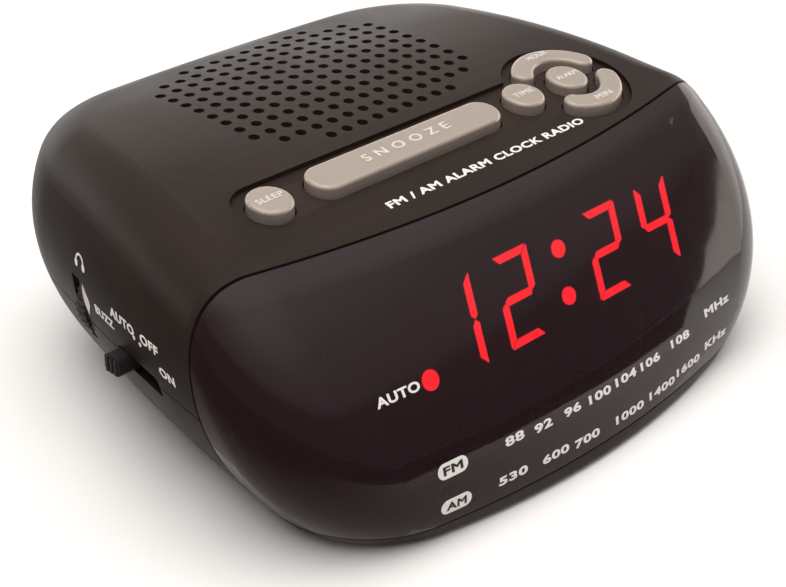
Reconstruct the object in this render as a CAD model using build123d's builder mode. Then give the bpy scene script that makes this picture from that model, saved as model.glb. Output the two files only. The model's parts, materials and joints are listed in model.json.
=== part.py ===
from build123d import *
import os
from math import asin, cos, degrees, hypot, radians, sin, sqrt

# Clock radio, millimetres. X runs to the right, Y to the back, Z up; the origin is on the
# table under the middle of the body. The body is a soft wedge: a crowned top, bulged sides that
# narrow to the back, and a front that leans back and is covered by one glossy smoked lens.

# ---------------------------------------------------------------- driving dimensions
crest = 53.5              # highest line of the top, above the table
crest_y = 18.0            # where that line is
crown_radius = 186.0      # the top is part of a cylinder along X
base_z = 1.5              # underside of the body, held up by the feet
wall = 2.2
seam_z = 23.4             # parting line of the top and bottom covers
gap = 0.3                 # shadow gap between covers and lens
running = 0.3             # clearance round keys, wheels and knobs

levels = (46.7, 23.1, 1.5)            # heights at which the outline is given
half_width = (69.6, 70.3, 59.0)       # widest reach of the side arcs
front_y = (-33.7, -52.6, -58.9)
back_y = (53.5, 59.1, 52.0)
front_radius = (500.0, 500.0, 165.0)
front_corner = (12.5, 18.3, 22.0)
back_corner = (29.0, 33.0, 33.0)
loft_heights = (12.0, 23.1, 35.0, 46.7, 56.0)
side_radius = 476.0
side_centre_y = -79.0
back_radius = 469.0
edge_radius = 11.0                    # round between the top and the sides

lens_joint_radius = 343.0             # the cover ends at this upright arc, and the lens starts
lens_joint_y = -30.8
lens_bottom = 3.9

grille_pitch = 4.0
grille_hole = 1.1
grille_rows = {-5: 9, -4: 13, -3: 15, -2: 15, -1: 15, 0: 15, 1: 15, 2: 15, 3: 15, 4: 15, 5: 13, 6: 9}
speaker_centre = (0.0, 20.0)
speaker_radius = 25.4
flange_z = 44.5                       # the loudspeaker's rim, basket bottom and magnet bottom
basket_low_z = 36.0
magnet_z = 29.0
magnet_radius = 13.0

key_y = -13.6                         # centre line of the top keys
sleep_x = -41.2
snooze_x, snooze_length, snooze_width = -7.9, 48.2, 7.8
time_x = 24.7
ring_x = 37.9
key_radius = 4.3
ring_inner, ring_outer = 6.7, 11.3
recess_depth = 0.9
recess_half = 6.9
key_proud = 1.3
key_travel = 0.8
key_skirt_z = 44.9
switch_top = 43.9
key_board_z = 37.4
board_thickness = 1.6

digit_height = 16.8                   # over the outside of the top and bottom bars
digit_width = 7.6                     # between the middles of the upright bars
digit_lean = 62.6                     # angle of the display face above the table
digit_slant = 0.116
digit_centres = (-22.4, -7.0, 18.2, 33.8)
display_origin = (0.0, -41.5, 30.2)

wheel_z = 27.5
volume_y, volume_x, volume_z, volume_radius = 18.0, -51.9, 25.3, 9.5
volume_half = 1.2                     # half thickness of the volume wheel
tuning_y, tuning_x, tuning_radius = -18.5, 53.4, 14.5
shaft_radius = 1.5                    # shafts of the tuning capacitor and the volume control
capacitor_half, control_half = 6.6, 4.2
drum_radius = 9.15
cord_y = -24.5
idler_x, idler_radius = -34.0, 4.0
rail_y, rail_z = -28.4, 13.0
arm_z = 5.5                           # underside of the pointer's arm, above the cover's lip
pointer_x = 20.0
main_board_z = 23.0
board_edge_x = 38.5

battery_x, battery_y = -2.0, -4.75
battery_z = 3.7                       # underside of the battery, on the door
battery_size = (48.5, 26.5, 17.5)     # length with its terminals
terminal = 2.1                        # of which 0.9 is inside the snap
foot_spots = [(-44, -40), (44, -40), (-36, 34), (36, 34)]
boss_spots = [(-45.5, 3), (45.5, 3), (-20, 45.5), (20, 45.5)]
boss_split_z = 15.0                   # where the upper and lower screw posts meet
upper_post, lower_post = 3.4, 4.6
screw_radius, head_radius = 1.4, 2.8
head_z, screw_tip_z = 9.0, 23.5
foot_radius, foot_seat = 3.95, 0.5
inlet_x, inlet_z = 26.0, 29.5
inlet_bore, inlet_neck, inlet_flange = 2.2, 3.3, 4.6
inlet_seat_y, inlet_front_y, inlet_back_y = 57.6, 53.0, 58.9

far = 100.0               # longer than the whole body
os.makedirs("parts", exist_ok=True)


def save(part, label):
    """Name a finished piece and write it."""
    part.label = label
    export_step(part, f"parts/{label}.step")


# ---------------------------------------------------------------- body form
def at_height(values, z):
    """Parabola through the three values given at the driving levels."""
    top, mid, low = levels
    return (
        values[0] * (z - mid) * (z - low) / ((top - mid) * (top - low))
        + values[1] * (z - top) * (z - low) / ((mid - top) * (mid - low))
        + values[2] * (z - top) * (z - mid) / ((low - top) * (low - mid))
    )


def crossing(centre_a, radius_a, centre_b, radius_b, side):
    """Where two circles cross, on the back (side 1) or the front (side -1)."""
    dx, dy = centre_b[0] - centre_a[0], centre_b[1] - centre_a[1]
    span = hypot(dx, dy)
    along = (radius_a**2 - radius_b**2 + span**2) / (2 * span)
    off = sqrt(radius_a**2 - along**2)
    mid_x, mid_y = centre_a[0] + along * dx / span, centre_a[1] + along * dy / span
    points = [(mid_x - off * dy / span, mid_y + off * dx / span),
              (mid_x + off * dy / span, mid_y - off * dx / span)]
    return max(points, key=lambda point: side * point[1])


def outline(z, inset):
    """Plan outline of the body at height z, drawn in by inset: four arcs, rounded corners."""
    front, back = at_height(front_y, z) + inset, at_height(back_y, z) - inset
    reach, front_r = at_height(half_width, z) - inset, at_height(front_radius, z) - inset
    side_r, back_r = side_radius - inset, back_radius - inset
    side_centre = (reach - side_r, side_centre_y)
    fore = crossing((0, front + front_r), front_r, side_centre, side_r, -1)
    aft = crossing((0, back - back_r), back_r, side_centre, side_r, 1)
    mid_y = (fore[1] + aft[1]) / 2
    mid_x = side_centre[0] + sqrt(side_r**2 - (mid_y - side_centre_y) ** 2)
    with BuildSketch(Plane.XY.offset(z)) as section:
        with BuildLine():
            ThreePointArc((-fore[0], fore[1]), (0, front), fore)
            ThreePointArc(fore, (mid_x, mid_y), aft)
            ThreePointArc(aft, (0, back), (-aft[0], aft[1]))
            ThreePointArc((-aft[0], aft[1]), (-mid_x, mid_y), (-fore[0], fore[1]))
        make_face()
        fillet(section.vertices().sort_by(Axis.Y)[:2], at_height(front_corner, z) - inset)
        fillet(section.vertices().sort_by(Axis.Y)[-2:], at_height(back_corner, z) - inset)
    return section.sketch


def trim_under_crown(inset):
    """Keep what lies below the crowned top, lowered by inset."""
    with BuildSketch(Plane.YZ) as profile:
        with Locations((crest_y, crest - crown_radius)):
            Circle(crown_radius - inset)
    extrude(profile.sketch, amount=far, both=True, mode=Mode.INTERSECT)


def body_form(inset, low_z):
    """Solid of the outer form, drawn in by inset and cut off flat at low_z."""
    with BuildPart() as form:
        for z in (low_z, *loft_heights):
            add(outline(z, inset))
        loft()
        trim_under_crown(inset)
        fillet(form.faces().sort_by(Axis.Z)[-1].edges(), edge_radius - inset)
    return form.part


def joint_column(radius):
    """Everything behind the upright arc where the covers end and the lens starts."""
    with BuildPart() as column:
        with Locations((0, lens_joint_y + lens_joint_radius, 0)):
            Cylinder(radius, far, align=(Align.CENTER, Align.CENTER, Align.MIN))
    return column.part


lip_gap = 0.15
lip = 1.4
floor_z = base_z + wall
outer = body_form(0, base_z)
inner = body_form(wall, floor_z)
lip_outer = body_form(wall + lip_gap, floor_z + lip_gap)
lip_inner = body_form(wall + lip_gap + lip, floor_z + lip)
cover_side = joint_column(lens_joint_radius)
lens_side = joint_column(lens_joint_radius + 2 * gap)


# ---------------------------------------------------------------- shared shapes
def key_sketch(x, radius, z):
    with BuildSketch(Plane.XY.offset(z)) as face:
        with Locations((x, key_y)):
            Circle(radius)
    return face.sketch


def snooze_sketch(grow, z):
    with BuildSketch(Plane.XY.offset(z)) as face:
        with Locations((snooze_x, key_y)):
            SlotOverall(snooze_length + 2 * grow, snooze_width + 2 * grow)
    return face.sketch


def arc_sketch(start, stop, grow, z):
    """One bent key of the ring, from angle start to stop, grown all round."""
    middle = (ring_inner + ring_outer) / 2
    half = (ring_outer - ring_inner) / 2
    end = degrees(half / middle)
    with BuildSketch(Plane.XY.offset(z)) as face:
        with BuildLine() as path:
            CenterArc((ring_x, key_y), middle, start + end, stop - start - 2 * end)
        SlotArc(path.edges()[0], 2 * (half + grow))
    return face.sketch


# each key's outline, as a function of how much it is grown and of its height
key_outlines = {
    "sleep_button": lambda grow, z: key_sketch(sleep_x, key_radius + grow, z),
    "snooze_button": lambda grow, z: snooze_sketch(grow, z),
    "time_button": lambda grow, z: key_sketch(time_x, key_radius + grow, z),
    "alarm_button": lambda grow, z: key_sketch(ring_x, key_radius + grow, z),
    "hour_button": lambda grow, z: arc_sketch(6, 155, grow, z),
    "minute_button": lambda grow, z: arc_sketch(-143, -10, grow, z),
}
ring_mid = (ring_inner + ring_outer) / 2
key_stems = {
    "sleep_button": (sleep_x, key_y),
    "snooze_button": (snooze_x, key_y),
    "time_button": (time_x, key_y),
    "alarm_button": (ring_x, key_y),
    "hour_button": (ring_x, key_y + ring_mid),
    "minute_button": (ring_x, key_y - ring_mid),
}


def rod_y(x, z, radius, y_from, y_to, mode=Mode.ADD):
    """Round bar, or hole, along Y."""
    with BuildSketch(Plane((x, y_from, z), x_dir=(1, 0, 0), z_dir=(0, 1, 0))) as face:
        Circle(radius)
    extrude(face.sketch, amount=y_to - y_from, mode=mode)


def rod_x(y, z, radius, x_from, x_to, mode=Mode.ADD):
    """Round bar, or hole, along X."""
    with BuildSketch(Plane((x_from, y, z), x_dir=(0, 1, 0), z_dir=(1, 0, 0))) as face:
        Circle(radius)
    extrude(face.sketch, amount=x_to - x_from, mode=mode)


def rod_z(x, y, radius, z_from, z_to, mode=Mode.ADD):
    """Round bar, or hole, upright."""
    with BuildSketch(Plane((x, y, z_from))) as face:
        Circle(radius)
    extrude(face.sketch, amount=z_to - z_from, mode=mode)


def block(low, high, mode=Mode.ADD):
    """Box given by two corners."""
    size = [b - a for a, b in zip(low, high)]
    with Locations([tuple((a + b) / 2 for a, b in zip(low, high))]):
        Box(*size, mode=mode)


def cut_box(low, high):
    """Remove a box given by two corners."""
    block(low, high, Mode.SUBTRACT)


# side openings, shared by both covers: (low corner, high corner)
function_y = (-11.1, 3.5)             # slot of the four-way switch, left side
function_z = (20.8, 25.0)
function_knob = 4.4
band_y = (2.0, 10.4)                  # slot of the band switch, right side
band_z = (23.4, 27.6)
slot_corner = 0.9
volume_slot = ((-far, volume_y - 1.6, 18.3), (-58.0, volume_y + 1.6, 32.3))
tuning_slot = ((57.0, tuning_y - 2.4, wheel_z - 12.4), (far, tuning_y + 2.4, wheel_z + 12.4))


def switch_slot(side, x, ys, zs):
    """Round-cornered opening for a slide knob, from x outwards through a side wall."""
    plane = Plane((side * x, sum(ys) / 2, sum(zs) / 2), x_dir=(0, 1, 0), z_dir=(side, 0, 0))
    with BuildSketch(plane) as face:
        RectangleRounded(ys[1] - ys[0], zs[1] - zs[0], slot_corner)
    extrude(face.sketch, amount=far, mode=Mode.SUBTRACT)


def side_openings():
    """Everything that both covers leave open for the wheels and the slide knobs."""
    for low, high in (volume_slot, tuning_slot):
        cut_box(low, high)
    rod_y(volume_x, volume_z, volume_radius + running, volume_y - 1.6, volume_y + 1.6, Mode.SUBTRACT)
    switch_slot(-1, 58.0, function_y, function_z)
    switch_slot(1, 55.0, band_y, band_z)


# ---------------------------------------------------------------- top cover
with BuildPart() as key_recess:
    with BuildSketch(Plane.XY.offset(crest - 20)):
        with Locations(((sleep_x + ring_x) / 2, key_y)):
            SlotCenterToCenter(ring_x - sleep_x, 2 * recess_half)
        with Locations((ring_x, key_y)):
            Circle(ring_outer + 2.0)
    extrude(amount=40)
    with BuildSketch(Plane.YZ):
        with Locations((crest_y, crest - crown_radius)):
            Circle(crown_radius - recess_depth)
    extrude(amount=far, both=True, mode=Mode.SUBTRACT)

with BuildPart() as speaker_ring:
    with Locations((*speaker_centre, flange_z)):
        Cylinder(speaker_radius + 1.8, 20, align=(Align.CENTER, Align.CENTER, Align.MIN))
        Cylinder(speaker_radius + 0.6, 20, align=(Align.CENTER, Align.CENTER, Align.MIN),
                 mode=Mode.SUBTRACT)
    trim_under_crown(wall / 2)

with BuildPart() as cover_bosses:
    for x, y in boss_spots:
        rod_z(x, y, upper_post, boss_split_z + 0.1, crest)
    add(outer, mode=Mode.INTERSECT)

with BuildPart() as lip_outer_front:
    add(lip_outer)
    add(joint_column(lens_joint_radius + 3.0), mode=Mode.INTERSECT)

# tongue under the edge of the lens, and the thicker rim of the covers that carries it
with BuildPart() as front_frame:
    add(outer)
    add(joint_column(lens_joint_radius), mode=Mode.INTERSECT)
    add(lip_outer_front.part)
    add(lip_inner, mode=Mode.SUBTRACT)
    add(joint_column(lens_joint_radius - 2.5), mode=Mode.SUBTRACT)

with BuildPart() as top_cover:
    add(outer)
    add(inner, mode=Mode.SUBTRACT)
    add(speaker_ring.part)
    add(cover_side, mode=Mode.INTERSECT)
    add(front_frame.part)
    cut_box((-far, -far, -far), (far, far, seam_z + gap / 2))
    add(cover_bosses.part)
    add(key_recess.part, mode=Mode.SUBTRACT)
    for draw in key_outlines.values():
        add(draw(running, 40))
    extrude(amount=20, mode=Mode.SUBTRACT)
    for row, count in grille_rows.items():
        with Locations((0, crest_y + row * grille_pitch, 50)):
            with GridLocations(grille_pitch, 1, count, 1):
                Cylinder(grille_hole, 12, mode=Mode.SUBTRACT)
    with Locations([(x, y, boss_split_z) for x, y in boss_spots]):
        Cylinder(screw_radius + 0.05, 10, align=(Align.CENTER, Align.CENTER, Align.MIN),
                 mode=Mode.SUBTRACT)
    side_openings()
    rod_y(inlet_x, inlet_z, inlet_neck + 0.05, 50, far, Mode.SUBTRACT)
    rod_y(inlet_x, inlet_z, inlet_flange + 0.2, inlet_seat_y, far, Mode.SUBTRACT)
save(top_cover.part, "top_cover")


# ---------------------------------------------------------------- bottom cover
bay_low = (battery_x - 26.5, battery_y - 13.65, base_z - 1)
bay_high = (battery_x + 26.5, battery_y + 13.65, 21.7)
bay_wall = 1.5
door_z = 1.8                          # thickness of the battery door
hinge_y, hinge_z = bay_high[1] - 1.3, base_z + 0.9
rail_ends = (-33.5, 50.5)
ferrite_y, ferrite_z, ferrite_radius = 38.0, 31.0, 4.0
ferrite_length = 76.0
coil_wire = 0.8                       # build-up of the aerial coil on the rod

# tongue that stands up inside the top cover, and the rim that carries it
with BuildPart() as seam_lip:
    add(outer)
    cut_box((-far, -far, seam_z - gap / 2), (far, far, far))
    add(lip_outer)
    add(lip_inner, mode=Mode.SUBTRACT)
    cut_box((-far, -far, -far), (far, far, 19.5))
    cut_box((-far, -far, seam_z + 2.2), (far, far, far))
    add(joint_column(lens_joint_radius - 3.0), mode=Mode.INTERSECT)

with BuildPart() as front_tray:
    add(outer)
    cut_box((-far, -far, lens_bottom - gap), (far, far, far))
    add(joint_column(lens_joint_radius - 1.0), mode=Mode.SUBTRACT)

with BuildPart() as bottom_bosses:
    for x, y in boss_spots:
        rod_z(x, y, lower_post, base_z, boss_split_z - 0.1)
    add(outer, mode=Mode.INTERSECT)

with BuildPart() as bottom_cover:
    add(outer)
    add(inner, mode=Mode.SUBTRACT)
    add(cover_side, mode=Mode.INTERSECT)
    add(front_frame.part)
    cut_box((-far, -far, seam_z - gap / 2), (far, far, far))
    add(seam_lip.part)
    add(front_tray.part)
    add(bottom_bosses.part)
    block((bay_low[0] - bay_wall, bay_low[1] - bay_wall, base_z),
          (bay_high[0] + bay_wall, bay_high[1] + bay_wall, bay_high[2] + 1.0))
    cut_box(bay_low, bay_high)
    cut_box((bay_low[0] - 2, -6, 17), (bay_low[0] + 1, 2, 20))
    for x in rail_ends:
        block((x - 1.5, rail_y - 2.5, base_z + 1), (x + 1.5, rail_y + 2.5, rail_z + 2.5))
    rod_x(rail_y, rail_z, 1.0, rail_ends[0] - 1, rail_ends[1] + 1, Mode.SUBTRACT)
    for x in (-32, 32):
        block((x - 1.5, ferrite_y - 5, base_z + 1), (x + 1.5, ferrite_y + 3, ferrite_z + 1))
    rod_x(ferrite_y, ferrite_z, ferrite_radius, -far, far, Mode.SUBTRACT)
    block((idler_x - 2.5, -22.3, base_z + 1), (idler_x + 2.5, -20.6, wheel_z))
    for x, y in boss_spots:
        rod_z(x, y, head_radius + 0.4, base_z - 1, head_z, Mode.SUBTRACT)
        rod_z(x, y, screw_radius + 0.2, base_z - 1, boss_split_z, Mode.SUBTRACT)
    for x, y in foot_spots:
        rod_z(x, y, foot_radius + 0.05, base_z - 1, base_z + foot_seat, Mode.SUBTRACT)
    rod_x(hinge_y, hinge_z, 0.76, bay_low[0] - 1.5, bay_high[0] + 1.5, Mode.SUBTRACT)
    for i in range(5):
        cut_box((15, 13 + 4 * i, base_z - 1), (31, 14.8 + 4 * i, floor_z + 1))
    side_openings()
save(bottom_cover.part, "bottom_cover")


# ---------------------------------------------------------------- lens
with BuildPart() as front_lens:
    add(outer)
    add(inner, mode=Mode.SUBTRACT)
    add(lens_side, mode=Mode.SUBTRACT)
    cut_box((-far, -far, -far), (far, far, lens_bottom))
save(front_lens.part, "front_lens")


# ---------------------------------------------------------------- keys
for name, draw in key_outlines.items():
    with BuildPart() as skirt:
        add(draw(0.7, key_skirt_z))
        extrude(amount=10)
        trim_under_crown(wall + 0.35)
        rod_z(*key_stems[name], 1.4, switch_top + key_travel + 0.05, key_skirt_z + 1)
    with BuildPart() as key:
        add(draw(0, key_skirt_z))
        extrude(amount=12)
        trim_under_crown(-key_proud)
        fillet(key.faces().sort_by(Axis.Z)[-1].edges(), 0.8)
        add(skirt.part)
    save(key.part, name)

with BuildPart() as key_board:
    block((-47, -26.5, key_board_z), (42.3, -1.0, key_board_z + board_thickness))
save(key_board.part, "key_board")

with BuildPart() as tact_switches:
    for x, y in key_stems.values():
        block((x - 3, y - 3, key_board_z + board_thickness), (x + 3, y + 3, key_board_z + 5.0))
        rod_z(x, y, 1.7, key_board_z + 5.0, switch_top)
save(tact_switches.part, "tact_switches")


# ---------------------------------------------------------------- display
display_plane = Plane(display_origin, x_dir=(1, 0, 0),
                      z_dir=(0, -sin(radians(digit_lean)), cos(radians(digit_lean))))
display_low, display_high = (-38.0, -9.2), (41.5, 9.2)
display_depth = 8.0
segment_height = 0.3
stroke = 1.45
segment_gap = 0.3
lit = ("bc", "abged", "abged", "fgbc")      # 12:24
alarm_dot = (-32.6, -5.8)
colon_dots = ((6.07, 4.56), (4.95, -4.35))


def slab(plane, low, high, z_from, z_to):
    """Rectangular block in a plane's own coordinates."""
    with BuildSketch(plane.offset(z_from)) as face:
        with Locations(((low[0] + high[0]) / 2, (low[1] + high[1]) / 2)):
            Rectangle(high[0] - low[0], high[1] - low[1])
    extrude(face.sketch, amount=z_to - z_from)


def segment_points(letter, centre):
    """Outline of one segment: mitred at the digit's corners, pointed at its middle."""
    half = stroke / 2
    mid_x, mid_y = digit_width / 2, (digit_height - stroke) / 2
    out_x, out_y, in_x, in_y = mid_x + half, mid_y + half, mid_x - half, mid_y - half
    bar = [(segment_gap - out_x, out_y), (out_x - segment_gap, out_y),
           (in_x - segment_gap, in_y), (segment_gap - in_x, in_y)]
    post = [(out_x, out_y - segment_gap), (out_x, half), (mid_x, segment_gap / 2),
            (in_x, half), (in_x, in_y - segment_gap)]
    middle = [(segment_gap - mid_x, 0), (-in_x, half), (in_x, half),
              (mid_x - segment_gap, 0), (in_x, -half), (-in_x, -half)]
    shapes = {"a": (bar, 1, 1), "d": (bar, 1, -1), "g": (middle, 1, 1), "b": (post, 1, 1),
              "c": (post, 1, -1), "f": (post, -1, 1), "e": (post, -1, -1)}
    points, side, rise = shapes[letter]
    return [(centre + side * x + digit_slant * rise * y, rise * y) for x, y in points]


def segments(chosen):
    """Raise the chosen (digit, letter) segments on the display face."""
    for digit, letter in chosen:
        with BuildSketch(display_plane) as bar:
            Polygon(*segment_points(letter, digit_centres[digit]), align=None)
        extrude(bar.sketch, amount=segment_height)


lit_segments = [(digit, letter) for digit in range(4) for letter in lit[digit]]
dark_segments = [(digit, letter) for digit in range(4) for letter in "abcdefg"
                 if letter not in lit[digit]]

with BuildPart() as led_housing:
    slab(display_plane, display_low, display_high, -display_depth, 0)
save(led_housing.part, "led_housing")

with BuildPart() as lit_marks:
    segments(lit_segments)
    with BuildSketch(display_plane) as dots:
        with Locations(alarm_dot):
            Circle(1.85)
        with Locations(*colon_dots):
            Circle(1.7)
    extrude(dots.sketch, amount=segment_height)
save(lit_marks.part, "led_segments_lit")

with BuildPart() as dark_marks:
    segments(dark_segments)
save(dark_marks.part, "led_segments_dark")

with BuildPart() as display_board:
    slab(display_plane, (-42, -9.2), (44, 9.2), -display_depth - board_thickness, -display_depth)
save(display_board.part, "display_board")

with BuildPart() as dial_plate:
    block((-46, -47.5, arm_z + 1.8), (46, -46.5, 19.5))
    for x in (-44, 44):
        block((x - 2, -47.5, lens_bottom), (x + 2, -40, arm_z + 1.8))
save(dial_plate.part, "dial_plate")


# ---------------------------------------------------------------- tuning
def notched_wheel(x, z, radius, y_from, y_to, notches):
    """Thumb wheel on an axis along Y with a row of grip notches round its rim."""
    face_plane = Plane((x, y_from, z), x_dir=(1, 0, 0), z_dir=(0, 1, 0))
    with BuildSketch(face_plane) as face:
        Circle(radius)
        with PolarLocations(radius + 0.15, notches):
            Circle(0.5, mode=Mode.SUBTRACT)
    extrude(face.sketch, amount=y_to - y_from)


drum_y = (-26.0, -23.0)
cord_thickness = 0.5
with BuildPart() as tuning_wheel:
    notched_wheel(tuning_x, wheel_z, tuning_radius, tuning_y - 2, tuning_y + 2, 56)
    rod_y(tuning_x, wheel_z, 5.0, drum_y[1], tuning_y - 2)
    rod_y(tuning_x, wheel_z, drum_radius + 0.6, drum_y[0], drum_y[1])
    cord_groove = Plane((tuning_x, cord_y - 0.5, wheel_z), x_dir=(1, 0, 0), z_dir=(0, 1, 0))
    with BuildSketch(cord_groove) as groove:
        Circle(drum_radius + 1)
        Circle(drum_radius - cord_thickness, mode=Mode.SUBTRACT)
    extrude(groove.sketch, amount=1.0, mode=Mode.SUBTRACT)
    rod_y(tuning_x, wheel_z, 3.0, tuning_y + 2, -14.6)
    rod_y(tuning_x, wheel_z, shaft_radius + 0.05, -20, -14, Mode.SUBTRACT)
save(tuning_wheel.part, "tuning_wheel")

with BuildPart() as tuning_capacitor:
    block((tuning_x - capacitor_half, -14.3, wheel_z - 7), (tuning_x + capacitor_half, -6.5, wheel_z + 7))
    rod_y(tuning_x, wheel_z, shaft_radius, -19.8, -14.3)
    fillet(tuning_capacitor.edges().filter_by(Axis.Y).group_by(Axis.X)[0], 1.0)
save(tuning_capacitor.part, "tuning_capacitor")

idler_z = wheel_z - drum_radius + idler_radius
with BuildPart() as idler_pulley:
    rod_y(idler_x, idler_z, idler_radius + 0.6, cord_y - 1.2, cord_y + 1.2)
    cord_groove = Plane((idler_x, cord_y - 0.5, idler_z), x_dir=(1, 0, 0), z_dir=(0, 1, 0))
    with BuildSketch(cord_groove) as groove:
        Circle(idler_radius + 1)
        Circle(idler_radius - cord_thickness, mode=Mode.SUBTRACT)
    extrude(groove.sketch, amount=1.0, mode=Mode.SUBTRACT)
    rod_y(idler_x, idler_z, 1.05, cord_y - 2, cord_y + 2, Mode.SUBTRACT)
save(idler_pulley.part, "idler_pulley")

with BuildPart() as idler_pin:
    rod_y(idler_x, idler_z, 1.0, cord_y - 1.9, -22.4)
    rod_y(idler_x, idler_z, 1.6, cord_y - 2.3, cord_y - 1.5)
save(idler_pin.part, "idler_pin")

# the cord runs round the drum and the idler: level below, sloping above
run = tuning_x - idler_x
tilt = asin((drum_radius - idler_radius) / hypot(run, wheel_z - idler_z))
slope = asin((wheel_z - idler_z) / hypot(run, wheel_z - idler_z)) + tilt
with BuildPart() as dial_cord:
    cord_plane = Plane((0, cord_y - cord_thickness / 2, 0), x_dir=(1, 0, 0), z_dir=(0, -1, 0))
    with BuildSketch(cord_plane) as loop:
        tangent = (-sin(slope), cos(slope))
        with BuildLine():
            idler_top = (idler_x + idler_radius * tangent[0], idler_z + idler_radius * tangent[1])
            drum_top = (tuning_x + drum_radius * tangent[0], wheel_z + drum_radius * tangent[1])
            drum_foot = (tuning_x, wheel_z - drum_radius)
            idler_foot = (idler_x, idler_z - idler_radius)
            Line(idler_foot, drum_foot)
            ThreePointArc(drum_foot, (tuning_x + drum_radius, wheel_z), drum_top)
            Line(drum_top, idler_top)
            ThreePointArc(idler_top, (idler_x - idler_radius, idler_z), idler_foot)
        make_face()
        offset(amount=-cord_thickness, mode=Mode.SUBTRACT)
    extrude(loop.sketch, amount=-cord_thickness)
save(dial_cord.part, "dial_cord")

with BuildPart() as pointer_rail:
    rod_x(rail_y, rail_z, 0.99, rail_ends[0] - 1, rail_ends[1] + 1)
save(pointer_rail.part, "pointer_rail")

carriage_half = 5.0
with BuildPart() as dial_pointer:
    block((pointer_x - carriage_half, rail_y - 2.1, rail_z - 2),
          (pointer_x + carriage_half, cord_y - 0.5, wheel_z - drum_radius + 1.5))
    block((pointer_x - 2, cord_y - 0.6, wheel_z - drum_radius + cord_thickness + 0.05),
          (pointer_x + 2, cord_y + 0.6, wheel_z - drum_radius + 1.5))
    rod_x(rail_y, rail_z, 1.05, pointer_x - 9, pointer_x + 9, Mode.SUBTRACT)
    block((pointer_x - 1, -49.4, arm_z), (pointer_x + 1, rail_y - 1.5, arm_z + 1.2))
    block((pointer_x - 1, rail_y - 2.1, arm_z), (pointer_x + 1, rail_y - 0.9, rail_z - 1))
    block((pointer_x - 0.5, -50.0, arm_z), (pointer_x + 0.5, -48.6, 18.6))
save(dial_pointer.part, "dial_pointer")


# ---------------------------------------------------------------- volume and switches
with BuildPart() as volume_wheel:
    notched_wheel(volume_x, volume_z, volume_radius, volume_y - volume_half, volume_y + volume_half, 40)
    rod_y(volume_x, volume_z, 2.6, 15.4, volume_y - volume_half)
    rod_y(volume_x, volume_z, shaft_radius + 0.05, 15.4, volume_y + 2, Mode.SUBTRACT)
save(volume_wheel.part, "volume_wheel")

with BuildPart() as volume_control:
    block((volume_x - control_half, 10.3, volume_z - 4.7), (volume_x + control_half, 15.2, volume_z + 4.7))
    rod_y(volume_x, volume_z, shaft_radius, 15.2, volume_y + volume_half)
save(volume_control.part, "volume_control")


def slide_knob(side, y, zs, tip_x, flange_x, flange_half):
    """Cap that passes through a slot, the flange inside it and the lug into its switch."""
    half, mid_z = function_knob / 2, sum(zs) / 2
    plane = Plane((side * flange_x, y, mid_z), x_dir=(0, 1, 0), z_dir=(side, 0, 0))
    with BuildSketch(plane) as cap:
        RectangleRounded(function_knob, zs[1] - zs[0] - 2 * gap, slot_corner)
    extrude(cap.sketch, amount=tip_x - flange_x)
    for step in (-1.2, 0.0, 1.2):
        ridge = sorted((side * tip_x, side * (tip_x + 0.35)))
        block((ridge[0], y + step - 0.3, zs[0] + 2 * gap), (ridge[1], y + step + 0.3, zs[1] - 2 * gap))
    flange = sorted((side * flange_x, side * (flange_x - 1)))
    block((flange[0], y - flange_half, mid_z - 3), (flange[1], y + flange_half, mid_z + 3))
    lug = sorted((side * (flange_x - 1), side * (flange_x - 3.2)))
    block((lug[0], y - half / 2, mid_z - 1), (lug[1], y + half / 2, mid_z + 1))


def slide_switch(side, outer_x, y_from, y_to, zs):
    """Switch body with the channel that its knob's lug runs in."""
    mid_z = sum(zs) / 2
    body = sorted((side * outer_x, side * (outer_x - 6)))
    block((body[0], y_from, mid_z - 4), (body[1], y_to, mid_z + 4))
    channel = sorted((side * (outer_x + 1), side * (outer_x - 3)))
    cut_box((channel[0], y_from + 1, mid_z - 1.2), (channel[1], y_to - 1, mid_z + 1.2))


function_rest = function_y[1] - running - function_knob / 2
band_rest = band_y[1] - running - function_knob / 2

with BuildPart() as function_knob_part:
    slide_knob(-1, function_rest, function_z, 66.8, 57.4, 6.8)
save(function_knob_part.part, "function_knob")

with BuildPart() as function_switch:
    slide_switch(-1, 56.2, -12.1, 5.2, function_z)
save(function_switch.part, "function_switch")

with BuildPart() as band_knob_part:
    slide_knob(1, band_rest, band_z, 66.4, 57.0, 5.2)
save(band_knob_part.part, "band_knob")

with BuildPart() as band_switch:
    slide_switch(1, 55.7, 1.8, 12.0, band_z)
save(band_switch.part, "band_switch")


# ---------------------------------------------------------------- loudspeaker


def spin(points):
    """Turn a closed outline, given as (radius, height), round the speaker's axis."""
    with BuildSketch(Plane((*speaker_centre, 0), x_dir=(1, 0, 0), z_dir=(0, -1, 0))) as profile:
        Polygon(*points, align=None)
    revolve(profile.sketch, axis=Axis((*speaker_centre, 0), (0, 0, 1)))


with BuildPart() as speaker_frame:
    spin([(22.6, flange_z), (speaker_radius, flange_z), (speaker_radius, flange_z + 1.2),
          (23.2, flange_z + 1.2), (14.0, basket_low_z + 1.0), (5.0, basket_low_z + 1.0),
          (5.0, basket_low_z), (14.6, basket_low_z)])
    with Locations((*speaker_centre, basket_low_z + 5)):
        with PolarLocations(19.5, 4, 45):
            Box(9, 12, 5, mode=Mode.SUBTRACT)
save(speaker_frame.part, "speaker_frame")

with BuildPart() as speaker_magnet:
    spin([(0, magnet_z), (magnet_radius, magnet_z), (magnet_radius, basket_low_z), (0, basket_low_z)])
    fillet(speaker_magnet.edges().sort_by(Axis.Z)[0], 0.8)
save(speaker_magnet.part, "speaker_magnet")

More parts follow.
